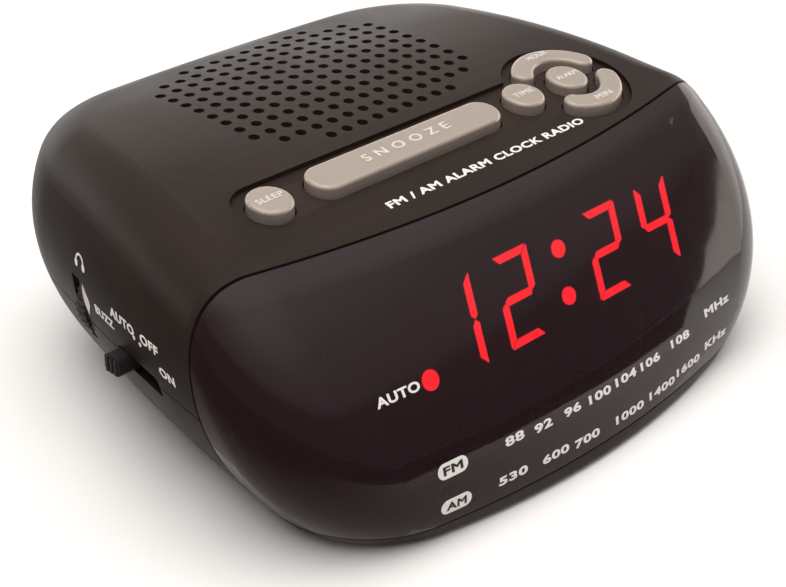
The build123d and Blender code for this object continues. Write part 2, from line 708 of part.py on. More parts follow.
with BuildPart() as speaker_cone:
    spin([(0, 41.6), (3.5, 41.0), (6.5, 39.4), (7.5, 38.6), (19.5, 45.0), (21.0, 46.2), (22.8, 45.9),
          (24.4, 45.8), (24.4, 46.3), (22.8, 46.4), (21.0, 46.8), (19.3, 45.6), (7.4, 39.3),
          (6.8, 40.0), (3.7, 41.6), (0, 42.2)])
save(speaker_cone.part, "speaker_cone")

with BuildPart() as speaker_gasket:
    spin([(22.9, flange_z + 2.0), (speaker_radius, flange_z + 2.0), (speaker_radius, 48.9),
          (22.9, 48.9)])
save(speaker_gasket.part, "speaker_gasket")

with BuildPart() as speaker_clips:
    with Locations((*speaker_centre, flange_z - 0.6)):
        with PolarLocations(26.4, 3, 90):
            Box(5.6, 5, 1.2)
save(speaker_clips.part, "speaker_clips")


# ---------------------------------------------------------------- boards and parts on them
with BuildPart() as main_board:
    block((-board_edge_x, -20, main_board_z), (board_edge_x, 9.5, main_board_z + board_thickness))
save(main_board.part, "main_board")

board_top = main_board_z + board_thickness
chip_spots = [(-24, -10, 18, 7.5), (6, -8, 14, 6.5), (26, -12, 10, 5)]
with BuildPart() as chips:
    for x, y, length, width in chip_spots:
        block((x - length / 2, y - width / 2, board_top), (x + length / 2, y + width / 2, board_top + 3.2))
save(chips.part, "integrated_circuits")

can_spots = [(-34, 3, 3.2), (-12, 2, 2.5), (9, 3, 2.5), (33, -3, 4.0)]
with BuildPart() as cans:
    for x, y, radius in can_spots:
        rod_z(x, y, radius, board_top, board_top + 2.6 * radius)
save(cans.part, "electrolytic_capacitors")

coil_spots = [(-4, -16), (12, -16), (20, -3)]
with BuildPart() as coil_cans:
    for x, y in coil_spots:
        block((x - 3.5, y - 3.5, board_top), (x + 3.5, y + 3.5, board_top + 8))
save(coil_cans.part, "tuning_coils")

with BuildPart() as ferrite_rod:
    rod_x(ferrite_y, ferrite_z, ferrite_radius - 0.05, -ferrite_length / 2, ferrite_length / 2)
save(ferrite_rod.part, "ferrite_rod")

with BuildPart() as antenna_coil:
    rod_x(ferrite_y, ferrite_z, ferrite_radius + coil_wire, -6, 10)
    rod_x(ferrite_y, ferrite_z, ferrite_radius, -7, 11, Mode.SUBTRACT)
save(antenna_coil.part, "antenna_coil")

core_low, core_high = (13.0, 14.0, 3.9), (39.0, 28.0, 24.0)
leg = 5.0
window_x = ((core_low[0] + leg, 23.0), (29.0, core_high[0] - leg))
window_z = (core_low[2] + leg - 1, core_high[2] - leg + 1)
with BuildPart() as transformer_core:
    block(core_low, core_high)
    for x_from, x_to in window_x:
        cut_box((x_from, 10, window_z[0]), (x_to, 40, window_z[1]))
save(transformer_core.part, "transformer_core")

with BuildPart() as transformer_coil:
    block((window_x[0][0], 10.8, window_z[0]), (window_x[1][1], 31.2, window_z[1]))
    fillet(transformer_coil.edges().filter_by(Axis.Z), 2.0)
    cut_box((window_x[0][1], core_low[1], -far), (window_x[1][0], core_high[1], far))
save(transformer_coil.part, "transformer_coil")


# ---------------------------------------------------------------- power and base
with BuildPart() as backup_battery:
    length, width, height = battery_size
    left = battery_x - length / 2 + 1.5
    block((left, battery_y - width / 2, battery_z),
          (left + length - terminal, battery_y + width / 2, battery_z + height))
    fillet(backup_battery.edges().filter_by(Axis.X), 2.5)
    for y, radius in ((battery_y - 6.3, 4.0), (battery_y + 6.3, 3.2)):
        rod_x(y, battery_z + height / 2, radius, left - 1.2, left)
save(backup_battery.part, "backup_battery")

with BuildPart() as battery_snap:
    snap_x = battery_x - battery_size[0] / 2 + 0.3
    block((snap_x - 1.6, battery_y - 12, 6.5), (snap_x, battery_y + 12, 18.5))
save(battery_snap.part, "battery_snap")

with BuildPart() as battery_door:
    block((bay_low[0] + gap, bay_low[1] + gap, base_z),
          (bay_high[0] - gap, bay_high[1] - gap, base_z + door_z))
    fillet(battery_door.edges().filter_by(Axis.X).group_by(Axis.Y)[-1], 0.85)
    rod_x(hinge_y, hinge_z, 0.7, bay_low[0] - 1.2, bay_high[0] + 1.2)
    cut_box((battery_x - 7, bay_low[1], base_z - 1), (battery_x + 7, bay_low[1] + 2.5, base_z + 0.8))
    for i in range(4):
        cut_box((battery_x - 6, bay_low[1] + 5 + 2 * i, base_z - 1),
                (battery_x + 6, bay_low[1] + 5.8 + 2 * i, base_z + 0.4))
save(battery_door.part, "battery_door")

with BuildPart() as rubber_feet:
    for x, y in foot_spots:
        rod_z(x, y, foot_radius, 0, base_z + foot_seat)
    fillet(rubber_feet.edges().group_by(Axis.Z)[0], 0.5)
save(rubber_feet.part, "rubber_feet")

with BuildPart() as case_screws:
    for x, y in boss_spots:
        rod_z(x, y, head_radius, head_z - 2.1, head_z)
        rod_z(x, y, screw_radius, head_z, screw_tip_z)
        rod_z(x, y, 1.1, head_z - 3, head_z - 1, Mode.SUBTRACT)
save(case_screws.part, "case_screws")

with BuildPart() as cord_bushing:
    rod_y(inlet_x, inlet_z, inlet_flange, inlet_seat_y, inlet_back_y)
    fillet(cord_bushing.edges().group_by(Axis.Y)[-1], 0.6)
    rod_y(inlet_x, inlet_z, inlet_neck, inlet_front_y, inlet_seat_y)
    rod_y(inlet_x, inlet_z, inlet_bore, 50, 60, Mode.SUBTRACT)
save(cord_bushing.part, "cord_bushing")
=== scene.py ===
import bmesh
import bpy
import json
from math import cos, pi, radians, sin
from mathutils import Matrix, Vector
from mathutils.bvhtree import BVHTree


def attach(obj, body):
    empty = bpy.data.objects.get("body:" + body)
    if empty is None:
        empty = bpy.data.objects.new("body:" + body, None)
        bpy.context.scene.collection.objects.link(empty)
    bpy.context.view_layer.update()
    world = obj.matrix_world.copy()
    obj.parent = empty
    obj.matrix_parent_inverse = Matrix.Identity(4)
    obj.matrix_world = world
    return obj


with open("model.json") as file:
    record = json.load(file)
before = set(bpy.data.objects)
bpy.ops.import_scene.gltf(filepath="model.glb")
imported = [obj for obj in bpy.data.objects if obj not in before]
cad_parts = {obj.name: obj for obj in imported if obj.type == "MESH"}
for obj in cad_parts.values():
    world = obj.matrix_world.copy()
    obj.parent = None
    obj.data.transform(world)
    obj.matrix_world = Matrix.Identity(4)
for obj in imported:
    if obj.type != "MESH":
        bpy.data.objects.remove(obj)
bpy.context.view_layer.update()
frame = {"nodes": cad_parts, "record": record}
nodes = frame["nodes"]
MM = 0.001
WAVE_PERIOD = pi / 10     # length after which Blender's wave texture repeats at scale 1
FLAT, SHARP = 0.52, 0.62  # pointiness of a nearly flat face and of a full edge
LED_GLOW = 24.0           # emission strength of the lit segments, which the lens then darkens

# ---------------------------------------------------------------- node helpers


class Shade:
    """A material's node tree, with short calls for the nodes that the finishes share."""

    def __init__(self, name):
        self.material = bpy.data.materials.new(name)
        self.material.use_nodes = True
        self.tree = self.material.node_tree
        self.surface = self.tree.nodes["Principled BSDF"]
        coords = self.tree.nodes.new("ShaderNodeTexCoord")
        self.place = coords.outputs["Object"]

    def link(self, source, target):
        self.tree.links.new(source, target)

    def stretched(self, scale):
        """Object coordinates, scaled differently along each axis."""
        mapping = self.tree.nodes.new("ShaderNodeMapping")
        mapping.inputs["Scale"].default_value = scale
        self.link(self.place, mapping.inputs["Vector"])
        return mapping.outputs["Vector"]

    def noise(self, grain_mm, detail=3.0, stretch=None):
        """Noise whose features are about grain_mm across."""
        node = self.tree.nodes.new("ShaderNodeTexNoise")
        node.inputs["Scale"].default_value = 1.0 / (grain_mm * MM)
        node.inputs["Detail"].default_value = detail
        self.link(self.stretched(stretch) if stretch else self.place, node.inputs["Vector"])
        return node.outputs["Fac"]

    def bands(self, pitch_mm, axis):
        """Regular bands along an axis, one every pitch_mm."""
        node = self.tree.nodes.new("ShaderNodeTexWave")
        node.wave_type = "BANDS"
        node.bands_direction = axis
        node.inputs["Scale"].default_value = WAVE_PERIOD / (pitch_mm * MM)
        self.link(self.place, node.inputs["Vector"])
        return node.outputs["Fac"]

    def spread(self, value, low, high, start=0.3, stop=0.7):
        """Map start to stop, where most of a noise's values lie, to low to high."""
        node = self.tree.nodes.new("ShaderNodeMapRange")
        limits = {"From Min": start, "From Max": stop, "To Min": low, "To Max": high}
        for key, number in limits.items():
            node.inputs[key].default_value = number
        self.link(value, node.inputs["Value"])
        return node.outputs["Result"]

    def blend(self, value, dark, light):
        """Colour that runs from dark to light with value."""
        node = self.tree.nodes.new("ShaderNodeMix")
        node.data_type = "RGBA"
        node.inputs["A"].default_value = (*dark, 1.0)
        node.inputs["B"].default_value = (*light, 1.0)
        self.link(self.spread(value, 0.0, 1.0), node.inputs["Factor"])
        return node.outputs["Result"]

    def bump(self, value, height_mm):
        """Relief of about height_mm."""
        node = self.tree.nodes.new("ShaderNodeBump")
        node.inputs["Strength"].default_value = 1.0
        node.inputs["Distance"].default_value = height_mm * MM
        self.link(value, node.inputs["Height"])
        return node.outputs["Normal"]

    def worn_edges(self, colour, edge_colour, amount):
        """Edges that touch has polished a little lighter."""
        geometry = self.tree.nodes.new("ShaderNodeNewGeometry")
        node = self.tree.nodes.new("ShaderNodeMix")
        node.data_type = "RGBA"
        node.inputs["B"].default_value = (*edge_colour, 1.0)
        self.link(colour, node.inputs["A"])
        wear = self.spread(geometry.outputs["Pointiness"], 0.0, amount, FLAT, SHARP)
        self.link(wear, node.inputs["Factor"])
        return node.outputs["Result"]

    def put(self, **sockets):
        """Set the surface's inputs, by number or by link. Underscores stand for spaces."""
        for key, value in sockets.items():
            socket = self.surface.inputs[key.replace("_", " ")]
            if isinstance(value, bpy.types.NodeSocket):
                self.link(value, socket)
            else:
                socket.default_value = value


def shaded(colour, amount):
    """A colour made darker or lighter by a factor."""
    return tuple(channel * amount for channel in colour)


# ---------------------------------------------------------------- finishes
def moulded(name, colour, rough, grain_mm=0.35, relief_mm=0.012, variation=0.12, edge=0.0,
            shine=0.5):
    """Injection-moulded plastic: spark-eroded grain, slight flow marks, polished edges."""
    shade = Shade(name)
    flow = shade.noise(18.0, 2.0)
    tint = shade.blend(flow, shaded(colour, 1 - variation), shaded(colour, 1 + variation))
    if edge:
        tint = shade.worn_edges(tint, shaded(colour, 2.4), edge)
    grain = shade.noise(grain_mm, 2.0)
    relief = shade.bump(grain, relief_mm)
    shade.put(Base_Color=tint, Roughness=shade.spread(flow, rough - 0.04, rough + 0.05),
              Normal=relief, Specular_IOR_Level=shine)
    return shade


def smoked(name):
    """Polished smoked acrylic: a dark gloss, thin enough for the display to show through."""
    shade = Shade(name)
    depth = shade.noise(40.0, 1.0)
    tint = shade.blend(depth, (0.015, 0.0050, 0.0070), (0.018, 0.0065, 0.0090))
    dust = shade.noise(2.5, 6.0)
    shade.put(Base_Color=tint, Roughness=shade.spread(dust, 0.035, 0.075), Alpha=0.8, IOR=1.6)
    return shade


def silver_paint(name):
    """Satin champagne-silver paint with fine metal flakes."""
    shade = Shade(name)
    flakes = shade.noise(0.12, 1.0)
    flow = shade.noise(6.0, 2.0)
    paint = shade.blend(flakes, (0.46, 0.385, 0.335), (0.57, 0.485, 0.425))
    tint = shade.worn_edges(paint, (0.72, 0.63, 0.56), 0.5)
    shade.put(Base_Color=tint, Metallic=0.55, Roughness=shade.spread(flow, 0.32, 0.42),
              Normal=shade.bump(flakes, 0.004))
    return shade


def metal(name, colour, rough):
    """Rolled or drawn metal with fine lines along Z."""
    shade = Shade(name)
    lines = shade.noise(0.3, 3.0, stretch=(1.0, 1.0, 0.05))
    stain = shade.noise(8.0, 3.0)
    tint = shade.blend(stain, shaded(colour, 0.85), shaded(colour, 1.1))
    shade.put(Base_Color=tint, Metallic=1.0, Normal=shade.bump(lines, 0.004),
              Roughness=shade.spread(lines, rough - 0.06, rough + 0.1))
    return shade


def wound(name, colour, pitch_mm, axis, metallic=0.0, rough=0.4):
    """Wire, thread or tape laid in even turns."""
    shade = Shade(name)
    turns = shade.bands(pitch_mm, axis)
    shade.put(Base_Color=shade.blend(turns, shaded(colour, 0.55), colour), Metallic=metallic,
              Roughness=rough, Normal=shade.bump(turns, pitch_mm / 4))
    return shade


def board(name):
    """Brown phenolic board with a net of raised green lines, as lacquered tracks look."""
    shade = Shade(name)
    fibre = shade.noise(0.8, 5.0, (1.0, 0.2, 1.0))
    tint = shade.blend(fibre, (0.20, 0.125, 0.04), (0.33, 0.215, 0.085))
    cells = shade.tree.nodes.new("ShaderNodeTexVoronoi")
    cells.feature = "DISTANCE_TO_EDGE"
    cells.inputs["Scale"].default_value = 1.0 / (5.0 * MM)
    shade.link(shade.place, cells.inputs["Vector"])
    tracks = shade.spread(cells.outputs["Distance"], 1.0, 0.0, 0.03, 0.06)
    mix = shade.tree.nodes.new("ShaderNodeMix")
    mix.data_type = "RGBA"
    mix.inputs["B"].default_value = (0.08, 0.14, 0.05, 1.0)
    shade.link(tint, mix.inputs["A"])
    shade.link(tracks, mix.inputs["Factor"])
    shade.put(Base_Color=mix.outputs["Result"], Roughness=0.42, Coat_Weight=0.3,
              Normal=shade.bump(tracks, 0.03))
    return shade


def lit(name):
    """Glowing red segment, slightly uneven, as a diffusing bar is."""
    shade = Shade(name)
    cloud = shade.noise(2.0, 2.0)
    body = shade.blend(cloud, (0.75, 0.012, 0.018), (0.85, 0.02, 0.028))
    glow = shade.blend(cloud, (1.0, 0.011, 0.02), (1.0, 0.018, 0.028))
    shade.put(Base_Color=body, Roughness=0.35, Emission_Color=glow, Emission_Strength=LED_GLOW)
    return shade


def printed(name, colour, rough=0.5):
    """Silk-screened ink, slightly uneven."""
    shade = Shade(name)
    ink = shade.noise(0.5, 3.0)
    shade.put(Base_Color=shade.blend(ink, shaded(colour, 0.9), colour), Roughness=rough,
              Normal=shade.bump(ink, 0.003))
    return shade


BODY_GREY = (0.0195, 0.0120, 0.0092)
finishes = {
    "cover_plastic": moulded("cover_plastic", BODY_GREY, 0.44, edge=0.3, shine=0.2),
    "smoked_lens": smoked("smoked_lens"),
    "silver_keys": silver_paint("silver_keys"),
    "black_plastic": moulded("black_plastic", (0.018, 0.016, 0.016), 0.38, edge=0.4),
    "inner_black": moulded("inner_black", (0.012, 0.011, 0.011), 0.6, grain_mm=0.6),
    "circuit_board": board("circuit_board"),
    "led_lit": lit("led_lit"),
    "led_dark": moulded("led_dark", (0.03, 0.008, 0.008), 0.45, grain_mm=0.5),
    "white_plastic": moulded("white_plastic", (0.72, 0.70, 0.64), 0.35, variation=0.05),
    "pointer_orange": moulded("pointer_orange", (0.80, 0.17, 0.03), 0.35),
    "nylon_cord": wound("nylon_cord", (0.55, 0.50, 0.42), 0.6, "X", rough=0.7),
    "zinc_steel": metal("zinc_steel", (0.60, 0.60, 0.57), 0.34),
    "ferrite_magnet": moulded("ferrite_magnet", (0.055, 0.055, 0.06), 0.55, grain_mm=1.2,
                              relief_mm=0.06),
    "ferrite_rod": moulded("ferrite_rod", (0.04, 0.04, 0.045), 0.5, grain_mm=0.9, relief_mm=0.05),
    "cone_paper": moulded("cone_paper", (0.045, 0.042, 0.04), 0.85, grain_mm=0.7, relief_mm=0.08,
                          variation=0.3),
    "foam_rubber": moulded("foam_rubber", (0.05, 0.05, 0.052), 0.95, grain_mm=0.5, relief_mm=0.15),
    "copper_wire": wound("copper_wire", (0.75, 0.30, 0.12), 0.4, "X", metallic=0.9, rough=0.3),
    "coil_tape": wound("coil_tape", (0.70, 0.52, 0.08), 6.0, "Z", rough=0.3),
    "core_steel": wound("core_steel", (0.30, 0.30, 0.31), 0.5, "Y", metallic=0.9, rough=0.45),
    "capacitor_sleeve": moulded("capacitor_sleeve", (0.02, 0.035, 0.11), 0.25, variation=0.2),
    "battery_can": moulded("battery_can", (0.10, 0.12, 0.16), 0.3, grain_mm=1.0, relief_mm=0.006),
    "foot_rubber": moulded("foot_rubber", (0.022, 0.022, 0.022), 0.8, grain_mm=0.6, relief_mm=0.04),
}
ink_white = printed("ink_white", (0.80, 0.77, 0.74))
ink_dark = printed("ink_dark", (0.02, 0.017, 0.017))
# silver ink: real print on the volume arc; on the keys' raised words its lighter tone is a painted
# highlight
silver_ink_and_highlight = printed("silver_ink_and_highlight", (0.66, 0.61, 0.57), 0.3)

SMOOTH_ANGLE = radians(28)


def smooth(obj):
    """Smooth shading with crisp edges where faces meet at more than SMOOTH_ANGLE."""
    obj.data.polygons.foreach_set("use_smooth", [True] * len(obj.data.polygons))
    obj.data.set_sharp_from_angle(angle=SMOOTH_ANGLE)


for part in frame["record"]["subparts"]:
    cad_object = nodes[part["node"]]
    cad_object.data.materials.clear()
    cad_object.data.materials.append(finishes[part["material_slot"]].material)
    smooth(cad_object)


# ---------------------------------------------------------------- marks on the surfaces
REACH = 30 * MM           # marks are laid down from REACH / 2 above, by rays 2 * REACH long
DICE = 0.8 * MM           # size of the squares that a mark is cut into
INK_THICKNESS = 0.04 * MM
OVERPRINT = 0.07 * MM     # dark letters stand out of the white ink that they are printed on
RELIEF = 0.14 * MM        # raised words on the keys
FLAT_HALF = 0.1           # half thickness of a flat mesh, before wrap() gives it the real one
BOLD = 0.034              # how much the printed letters' strokes are thickened, in text sizes
SLIGHTLY_BOLD = 0.012     # the same for the raised letters
SPACING = 1.08            # letter spacing
LEVEL = 0.8               # a surface whose normal has a larger Z than this counts as level
WIDE_FACE = 2.0           # the scale's numbers are set in a wide face


def trees_of(*names):
    """Ray-cast trees of some CAD nodes."""
    graph = bpy.context.evaluated_depsgraph_get()
    return [BVHTree.FromObject(nodes[name], graph) for name in names]


skins = {
    "lens": trees_of("front_lens"),
    "top": trees_of("top_cover"),
    "side": trees_of("top_cover", "bottom_cover"),
}


def land(trees, start, direction):
    """First point and normal that a ray meets, or None."""
    hits = [tree.ray_cast(start, direction, 2 * REACH) for tree in trees]
    hits = [hit for hit in hits if hit[0] is not None]
    return min(hits, key=lambda hit: hit[3]) if hits else None


def seat(trees, start, direction, turn=0.0):
    """Frame on the surface where a ray lands: point, right, up and normal.

    Up is nearest to +Y on a level surface, and to +Z on an upright one.
    """
    hit = land(trees, start, direction)
    normal = hit[1] if hit[1].dot(direction) < 0 else -hit[1]
    hint = Vector((0, 1, 0)) if abs(normal.z) > LEVEL else Vector((0, 0, 1))
    up = (hint - normal * normal.dot(hint)).normalized()
    right = up.cross(normal)
    spin = Matrix.Rotation(turn, 3, normal)
    return hit[0], spin @ right, spin @ up, normal


def diced(mesh, step):
    """Cut a flat mesh into small squares, so that it can follow a curved surface."""
    cut = bmesh.new()
    cut.from_mesh(mesh)
    for axis in (0, 1):
        spots = [vertex.co[axis] for vertex in cut.verts]
        place = min(spots) + step / 2
        while place < max(spots):
            point, across = Vector((0, 0, 0)), Vector((0, 0, 0))
            point[axis], across[axis] = place, 1
            bmesh.ops.bisect_plane(cut, geom=cut.verts[:] + cut.edges[:] + cut.faces[:], dist=1e-7,
                                   plane_co=point, plane_no=across)
            place += step
    cut.to_mesh(mesh)
    cut.free()


def wrap(mesh, trees, spot, proud):
    """Lay a flat, thin mesh on a surface. Its upper side stands proud, its lower side sinks in."""
    diced(mesh, DICE)
    point, right, up, normal = spot
    for vertex in mesh.vertices:
        start = point + right * vertex.co.x + up * vertex.co.y + normal * REACH / 2
        hit = land(trees, start, -normal)
        base = hit[0] if hit else start - normal * REACH / 2
        vertex.co = base + normal * (proud if vertex.co.z > 0 else -proud)


def mark(name, mesh, trees, spot, material, body="case", proud=INK_THICKNESS):
    """Turn a flat mesh into a printed or raised mark that rides on a body."""
    wrap(mesh, trees, spot, proud)
    mesh.materials.clear()
    mesh.materials.append(material)
    obj = bpy.data.objects.new(name, mesh)
    bpy.context.scene.collection.objects.link(obj)
    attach(obj, body)


def white_print(name, mesh, skin, spot):
    """Mark in white ink on the case."""
    mark(name, mesh, skins[skin], spot, ink_white.material)


def lettering(words, cap_height, width=None, bold=BOLD):
    """Flat mesh of some words, centred, with capitals cap_height tall."""
    text = bpy.data.curves.new("words", "FONT")
    text.body = words
    text.align_x = "CENTER"
    text.align_y = "CENTER"
    text.size = 1.0
    text.bevel_depth = bold
    text.bevel_resolution = 0
    text.space_character = SPACING
    text.extrude = FLAT_HALF
    text.resolution_u = 4
    holder = bpy.data.objects.new("words", text)
    bpy.context.scene.collection.objects.link(holder)
    bpy.context.view_layer.update()
    graph = bpy.context.evaluated_depsgraph_get()
    mesh = bpy.data.meshes.new_from_object(holder.evaluated_get(graph))
    bpy.data.objects.remove(holder)
    xs = [v.co.x for v in mesh.vertices]
    ys = [v.co.y for v in mesh.vertices]
    tall = cap_height / (max(ys) - min(ys))
    wide = width / (max(xs) - min(xs)) if width else tall * WIDE_FACE
    middle = Vector(((max(xs) + min(xs)) / 2, (max(ys) + min(ys)) / 2, 0))
    mesh.transform(Matrix.Diagonal((wide, tall, 1, 1)) @ Matrix.Translation(-middle))
    return mesh


def plate(outline):
    """Flat mesh from a closed outline given as (x, y) points."""
    count = len(outline)
    verts = [(x, y, FLAT_HALF) for x, y in outline] + [(x, y, -FLAT_HALF) for x, y in outline]
    sides = [(i, (i + 1) % count, count + (i + 1) % count, count + i) for i in range(count)]
    mesh = bpy.data.meshes.new("plate")
    mesh.from_pydata(verts, [], [tuple(range(count))[::-1], tuple(range(count, 2 * count))] + sides)
    return mesh


def pill(length, height, steps=10):
    """Outline of a bar with round ends."""
    radius, straight = height / 2, length / 2 - height / 2
    ends = []
    for side, base in ((1, -pi / 2), (-1, pi / 2)):
        for i in range(steps + 1):
            angle = base + pi * i / steps
            ends.append((side * straight + radius * cos(angle), radius * sin(angle)))
    return ends


def crescent(radius, thickness, half_angle, steps=14):
    """Outline of an arc that tapers to points."""
    outer = [-half_angle + 2 * half_angle * i / steps for i in range(steps + 1)]
    far_side = [(radius * cos(a), radius * sin(a)) for a in outer]
    near_side = []
    for a in reversed(outer[1:-1]):
        r = radius - thickness * cos(a / half_angle * pi / 2)
        near_side.append((r * cos(a), r * sin(a)))
    return far_side + near_side


def half_ring(outer, inner, steps=12):
    """Outline of the upper half of an elliptical ring, from (half width, height) of its edges."""
    turns = [pi * i / steps for i in range(steps + 1)]
    outside = [(outer[0] * cos(a), outer[1] * sin(a)) for a in turns]
    inside = [(inner[0] * cos(a), inner[1] * sin(a)) for a in reversed(turns)]
    return outside + inside


# places on the case, in mm: rays run inwards from well outside it
IN_FRONT, ABOVE, AT_LEFT = -75, 75, -90


def on_lens(x, z):
    return seat(skins["lens"], Vector((x * MM, IN_FRONT * MM, z * MM)), Vector((0, 1, 0)))


def on_top(x, y, trees=skins["top"]):
    return seat(trees, Vector((x * MM, y * MM, ABOVE * MM)), Vector((0, 0, -1)))


def on_left(y, z, turn=0.0):
    return seat(skins["side"], Vector((AT_LEFT * MM, y * MM, z * MM)), Vector((1, 0, 0)), turn)


# the tuning scale: (words, x, z)
fm_scale = [("88", -23.2, 14.1), ("92", -16.1, 13.6), ("96", -8.4, 13.5), ("100", -0.8, 13.3),
            ("104", 6.9, 13.5), ("106", 14.5, 13.5), ("108", 24.6, 13.9), ("MHz", 38.3, 15.2)]
am_scale = [("530", -24.6, 7.5), ("600", -14.0, 7.2), ("700", -5.6, 6.7), ("1000", 6.9, 6.5),
            ("1400", 17.4, 6.8), ("1600", 26.7, 7.5), ("KHz", 37.2, 8.6)]
SCALE_CAP = 1.7 * MM
PILL_X = -37.6
pill_outline = pill(length=6.7 * MM, height=2.9 * MM)
for band, scale, pill_z in (("FM", fm_scale, 14.5), ("AM", am_scale, 7.6)):
    spot = on_lens(PILL_X, pill_z)
    white_print(f"{band}_pill", plate(pill_outline), "lens", spot)
    band_letters = lettering(band, cap_height=1.6 * MM, width=4.4 * MM)
    mark(f"{band}_letters", band_letters, skins["lens"], spot, ink_dark.material,
         proud=OVERPRINT)
    for words, x, z in scale:
        white_print(f"scale_{band}_{words}", lettering(words, SCALE_CAP), "lens", on_lens(x, z))

WORDS_CAP = 1.8 * MM
white_print("alarm_words", lettering("AUTO", WORDS_CAP, 9.4 * MM), "lens", on_lens(-43.6, 28.7))
white_print("top_words", lettering("FM / AM ALARM CLOCK RADIO", WORDS_CAP, 53.2 * MM), "top",
            on_top(2.8, -24.9))

# switch and volume marks on the left wall: (name, words, y, z, capital height, width)
side_words = [("buzz_words", "BUZZ", 6.8, 29.1, 1.9, 7.6),
              ("auto_words", "AUTO", -0.8, 32.1, 2.0, 9.2),
              ("off_words", "OFF", -10.6, 32.2, 2.0, 6.2),
              ("on_words", "ON", -15.7, 28.3, 2.0, 5.2)]
for name, words, y, z, cap, width in side_words:
    white_print(name, lettering(words, cap * MM, width * MM), "side", on_left(y, z))

# a dot is a hair longer than it is high, so that no two points of its outline fall together
dot = pill(length=0.9 * MM, height=0.89 * MM)
for name, y, z in (("auto_dot", -5.1, 30.9), ("off_dot", -7.2, 30.5)):
    white_print(name, plate(dot), "side", on_left(y, z))

volume_mark = plate(crescent(radius=8.5 * MM, thickness=2.6 * MM, half_angle=0.42))
mark("volume_arc", volume_mark, skins["side"], on_left(7.3, 28.6, turn=pi), silver_ink_and_highlight.material)

# headphone sign: a head band and two ear pads
headphone_spot = on_left(15.3, 36.3)
PAD_OUT, PAD_DROP = 1.5 * MM, 0.55 * MM
head_band = half_ring(outer=(1.75 * MM, 1.8 * MM), inner=(1.3 * MM, 1.35 * MM))
ear_pad = pill(length=1.6 * MM, height=1.15 * MM)
white_print("headphone_band", plate(head_band), "side", headphone_spot)
for side, label in ((-1, "rear"), (1, "front")):
    # swapping x and y stands the bar upright but mirrors it, so its points run backwards
    pad = [(PAD_OUT * side + y, x - PAD_DROP) for x, y in ear_pad]
    white_print(f"headphone_pad_{label}", plate(pad[::-1]), "side", headphone_spot)

# raised words on the keys, in a silver lighter than the keys' paint, which is a painted highlight on
# them: (node, body, words, x, y, capital height, width)
KEY_Y = -13.6
CURVED_KEY = 9.0          # from there to the words on the curved keys
key_words = [("sleep_button", "sleep_key", "SLEEP", -41.2, KEY_Y, 1.4, 6.0),
             ("snooze_button", "snooze_key", "S N O O Z E", -7.9, KEY_Y, 2.2, 22.0),
             ("time_button", "time_key", "TIME", 24.7, KEY_Y, 1.4, 5.4),
             ("alarm_button", "alarm_key", "ALARM", 37.9, KEY_Y, 1.3, 6.0),
             ("hour_button", "hour_key", "HOUR", 38.9, KEY_Y + CURVED_KEY, 1.5, 6.0),
             ("minute_button", "minute_key", "MIN", 38.7, KEY_Y - CURVED_KEY, 1.5, 4.6)]
for node, body, words, x, y, cap, width in key_words:
    key = trees_of(node)
    raised = lettering(words, cap * MM, width * MM, bold=SLIGHTLY_BOLD)
    mark(f"{node}_words", raised, key, on_top(x, y, key), silver_ink_and_highlight.material,
         body=body, proud=RELIEF)


# ---------------------------------------------------------------- studio
WARM_WHITE = (1.0, 0.97, 0.94)
CARD_WHITE = (1.0, 0.985, 0.965)
DOME_WHITE = (1.0, 0.97, 0.95)


def softbox(name, place, aim, size, power, tint=WARM_WHITE):
    """Rectangular area light at place, facing aim."""
    data = bpy.data.lights.new(name, "AREA")
    data.shape = "RECTANGLE"
    data.size, data.size_y = size
    data.energy = power
    data.color = tint
    obj = bpy.data.objects.new(name, data)
    obj.location = place
    obj.rotation_euler = (Vector(aim) - Vector(place)).to_track_quat("-Z", "Y").to_euler()
    bpy.context.scene.collection.objects.link(obj)
    return obj


def pale_floor():
    """Round pale table top under the radio."""
    reach, steps = 2.2, 96
    turns = [2 * pi * i / steps for i in range(steps)]
    rim = [(reach * cos(a), reach * sin(a), 0) for a in turns]
    mesh = bpy.data.meshes.new("floor")
    mesh.from_pydata(rim, [], [tuple(range(steps))])
    floor = bpy.data.objects.new("floor", mesh)
    shade = Shade("floor_paint")
    grain = shade.noise(60.0, 2.0)
    tint = shade.blend(grain, (0.80, 0.79, 0.78), (0.83, 0.82, 0.81))
    shade.put(Base_Color=tint, Roughness=0.9, Specular_IOR_Level=0.0)
    mesh.materials.append(shade.material)
    bpy.context.scene.collection.objects.link(floor)


def white_card(name, place, aim, size, radiance):
    """Evenly lit white card. Its radiance is what a reflection shows, and only reflections see it."""
    card = softbox(name, place, aim, size, radiance * pi * size[0] * size[1], CARD_WHITE)
    card.visible_camera = False
    card.visible_diffuse = False


def dome(steps):
    """Room that brightens upwards, by steps of (Z of a unit direction, radiance)."""
    world = bpy.data.worlds.new("studio")
    world.use_nodes = True
    tree = world.node_tree
    coords = tree.nodes.new("ShaderNodeTexCoord")
    split = tree.nodes.new("ShaderNodeSeparateXYZ")
    ramp = tree.nodes.new("ShaderNodeValToRGB")
    stops = ramp.color_ramp.elements
    while len(stops) < len(steps):
        stops.new(0.5)
    for stop, (rise, radiance) in zip(stops, steps):
        stop.position = rise
        stop.color = (*shaded(DOME_WHITE, radiance), 1.0)
    tree.links.new(coords.outputs["Generated"], split.inputs["Vector"])
    tree.links.new(split.outputs["Z"], ramp.inputs["Fac"])
    tree.links.new(ramp.outputs["Color"], tree.nodes["Background"].inputs["Color"])
    bpy.context.scene.world = world


